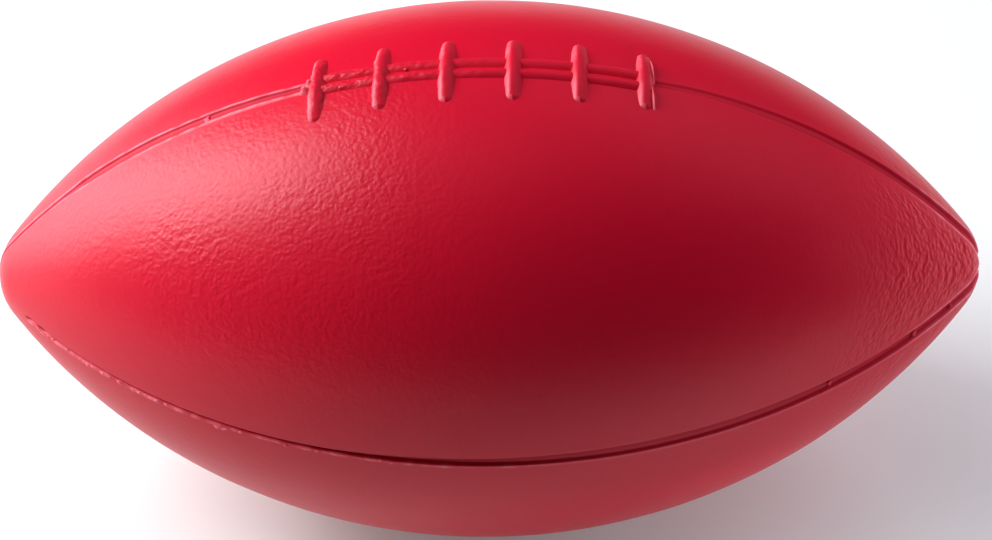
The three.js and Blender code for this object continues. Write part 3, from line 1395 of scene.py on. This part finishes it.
def foam_material():
    """Pale open-celled foam."""
    foam = bpy.context.scene.football_finish.foam
    material, tree, shader = fresh_material("Pale Foam")
    spot = object_place(tree)
    cells = out(tree, place(tree, "ShaderNodeTexVoronoi", Vector=spot, Scale=FOAM_CELLS))
    mottle = call(tree, Finishes.get("mottle"), Place=spot)["Mottle"]
    pale = cells.step(*CELL_FADE) * CELL_PALENESS + mottle * MOTTLE_PALENESS
    shaded_foam = [part * CELL_SHADE for part in foam[:3]] + [1]
    plug(tree, shader.inputs["Base Color"], mixed(tree, pale, shaded_foam, foam))
    plug(tree, shader.inputs["Roughness"], FOAM_ROUGHNESS + mottle * FOAM_MOTTLE)
    bump = place(tree, "ShaderNodeBump", Height=cells, Strength=CELL_STRENGTH, Distance=CELL_DEPTH)
    plug(tree, shader.inputs["Normal"], out(tree, bump))
    return material


# Stage

PHOTO_WIDTH = 992
PHOTO_HEIGHT = 540
BALL_IN_PHOTO = (488.1, 268.5)  # the ball's centre, in pixels
SENSOR_WIDTH = 36  # in millimetres
CLIP_START = 0.01
FLOOR_SIZE = 12.0
FLOOR_COLOUR = (0.75, 0.81, 0.76, 1)  # evens out the tint of the lamps
FLOOR_GLOW = 0.1
SURROUND_COLOUR = (1, 1, 1, 1)
SURROUND_STRENGTH = 0.02
LAMP_DISTANCE = 1.0
KEY_TINT = (0.96, 0.93, 1.0)
FILL_TINT = (0.82, 0.84, 1.0)

# Each soft box: azimuth and elevation in degrees, width and height in metres, power in watts
KEY_LAMPS = (
    ("High Key", 259, 42, 0.55, 0.6, 12.6),
    ("Low Key", 246, 15, 0.7, 0.55, 9.1),
)
FILL_LAMPS = (
    ("Low Right", 104, 7, 0.9, 0.4, 6.0),
    ("High Right", 122, 42, 0.9, 0.7, 3.1),
    ("Back", 168, 44, 0.45, 0.45, 0.6),
    ("Top", 0, 90, 0.4, 0.4, 0.5),
)

# The box that faces the floor: width and height in metres, power in watts
FLOOR_LAMP = ("Floor Fill", 0.34, 0.17, 0.17)
FLOOR_LAMP_PLACE = (0.24, -0.15, -0.015)


def direction(azimuth, elevation):
    """The way from the ball towards an azimuth and elevation; azimuth 0 is the front."""
    level = math.cos(elevation)
    return Vector((math.sin(azimuth) * level, -math.cos(azimuth) * level, math.sin(elevation)))


def add_camera(settings):
    """The camera at the photograph's angle."""
    back = direction(settings.azimuth, settings.elevation)
    right = Vector((math.cos(settings.azimuth), math.sin(settings.azimuth), 0))
    up = back.cross(right)
    turn = settings.roll
    rolled_right = right * math.cos(turn) + up * math.sin(turn)
    rolled_up = up * math.cos(turn) - right * math.sin(turn)
    data = bpy.data.cameras.new("Camera")
    data.lens = settings.lens
    data.sensor_fit = "HORIZONTAL"
    data.sensor_width = SENSOR_WIDTH
    data.clip_start = CLIP_START
    data.shift_x = (PHOTO_WIDTH / 2 - BALL_IN_PHOTO[0]) / PHOTO_WIDTH
    data.shift_y = -(PHOTO_HEIGHT / 2 - BALL_IN_PHOTO[1]) / PHOTO_WIDTH
    camera = bpy.data.objects.new("Camera", data)
    axes = Matrix((rolled_right, rolled_up, back)).transposed()
    camera.matrix_world = Matrix.Translation(back * settings.distance) @ axes.to_4x4()
    bpy.context.scene.collection.objects.link(camera)
    bpy.context.scene.camera = camera


def seen_directly(tree):
    """1 for rays that show the backdrop itself: from the camera, in gloss or through glass."""
    path = place(tree, "ShaderNodeLightPath")
    camera, gloss, glass = (out(tree, path, f"Is {ray} Ray") for ray in ("Camera", "Glossy", "Transmission"))
    return camera.high(gloss).high(glass)


def floor_material():
    """Matt and pale, with a little light of its own where it is seen."""
    material = bpy.data.materials.new("Pale Floor")
    material.use_nodes = True
    tree = material.node_tree
    tree.nodes.clear()
    matt = place(tree, "ShaderNodeBsdfDiffuse", Color=FLOOR_COLOUR)
    glow = place(tree, "ShaderNodeEmission", Strength=seen_directly(tree) * FLOOR_GLOW)
    both = tree.nodes.new("ShaderNodeAddShader")
    tree.links.new(matt.outputs[0], both.inputs[0])
    tree.links.new(glow.outputs[0], both.inputs[1])
    end = tree.nodes.new("ShaderNodeOutputMaterial")
    tree.links.new(both.outputs[0], end.inputs["Surface"])
    return material


def add_floor(height):
    """A plain pale floor that keeps the ball's shadow."""
    mesh = bpy.data.meshes.new("floor")
    half = FLOOR_SIZE / 2
    corners = [(-half, -half, height), (half, -half, height), (half, half, height), (-half, half, height)]
    mesh.from_pydata(corners, [], [(0, 1, 2, 3)])
    mesh.materials.append(floor_material())
    floor = bpy.data.objects.new("floor", mesh)
    bpy.context.scene.collection.objects.link(floor)
    floor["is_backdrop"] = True


def soft_box(tint, name, width, height, power):
    """One soft box of a tint, at the ball's middle and facing down."""
    data = bpy.data.lights.new(name, "AREA")
    data.shape = "RECTANGLE"
    data.size = width
    data.size_y = height
    data.energy = power
    data.color = tint
    lamp = bpy.data.objects.new(name, data)
    bpy.context.scene.collection.objects.link(lamp)
    return lamp


def aimed_lamp(tint, name, azimuth, elevation, *size_and_power):
    """One soft box, set off from the ball and aimed at it."""
    lamp = soft_box(tint, name, *size_and_power)
    way = direction(math.radians(azimuth), math.radians(elevation))
    lamp.location = way * LAMP_DISTANCE
    lamp.rotation_euler = way.to_track_quat("Z", "Y").to_euler()
    return lamp


def add_lamps():
    """Key soft boxes on the left, and fill boxes that light without a reflection of their own.

    The last one lies close over the floor at the front right and lifts the ball's shadow there."""
    for settings in KEY_LAMPS:
        aimed_lamp(KEY_TINT, *settings)
    fills = [aimed_lamp(FILL_TINT, *settings) for settings in FILL_LAMPS]
    over_floor = soft_box(KEY_TINT, *FLOOR_LAMP)
    over_floor.location = FLOOR_LAMP_PLACE
    for lamp in (*fills, over_floor):
        lamp.visible_glossy = False


def add_world():
    """A dark studio surround."""
    world = bpy.data.worlds.new("Studio")
    world.use_nodes = True
    tree = world.node_tree
    tree.nodes.clear()
    surround = place(tree, "ShaderNodeBackground", Color=SURROUND_COLOUR, Strength=SURROUND_STRENGTH)
    end = tree.nodes.new("ShaderNodeOutputWorld")
    tree.links.new(surround.outputs[0], end.inputs["Surface"])
    bpy.context.scene.world = world


class FOOTBALL_OT_stage(bpy.types.Operator):
    """Set the floor, the lamps, the surround and the camera"""

    bl_idname = "football.stage"
    bl_label = "Stage"

    def execute(self, context):
        add_camera(context.scene.football_stage)
        add_floor(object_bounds()[0].z)
        add_lamps()
        add_world()
        context.scene.view_settings.view_transform = "Standard"
        return {"FINISHED"}


# Sidebar and registration


class FOOTBALL_PT_sidebar(bpy.types.Panel):
    """The ball's pieces and sizes"""

    bl_idname = "FOOTBALL_PT_sidebar"
    bl_label = "Foam Football"
    bl_space_type = "VIEW_3D"
    bl_region_type = "UI"
    bl_category = "Football"

    def draw(self, context):
        layout = self.layout
        for operator in OPERATORS:
            layout.operator(operator.bl_idname)
        for name in GROUPS:
            settings = getattr(context.scene, name)
            column = layout.column(align=True)
            for key in settings.__annotations__:
                column.prop(settings, key)


GROUPS = {
    "football_ball": BallSizes,
    "football_seams": SeamSizes,
    "football_lacing": LacingSizes,
    "football_finish": CoatFinish,
    "football_stage": StageSettings,
}
OPERATORS = (
    FOOTBALL_OT_foam_core,
    FOOTBALL_OT_skin_panels,
    FOOTBALL_OT_lacing,
    FOOTBALL_OT_coat_beads,
    FOOTBALL_OT_stage,
)


def register():
    for group in GROUPS.values():
        bpy.utils.register_class(group)
    for name, group in GROUPS.items():
        setattr(bpy.types.Scene, name, PointerProperty(type=group))
    for operator in OPERATORS:
        bpy.utils.register_class(operator)
    bpy.utils.register_class(FOOTBALL_PT_sidebar)


def unregister():
    bpy.utils.unregister_class(FOOTBALL_PT_sidebar)
    for operator in reversed(OPERATORS):
        bpy.utils.unregister_class(operator)
    for name, group in reversed(GROUPS.items()):
        delattr(bpy.types.Scene, name)
        bpy.utils.unregister_class(group)


def main():
    register()
    bpy.ops.football.foam_core()
    bpy.ops.football.skin_panels()
    bpy.ops.football.lacing()
    bpy.ops.football.coat_beads()
    bpy.ops.football.stage()


if __name__ == "__main__":
    main()
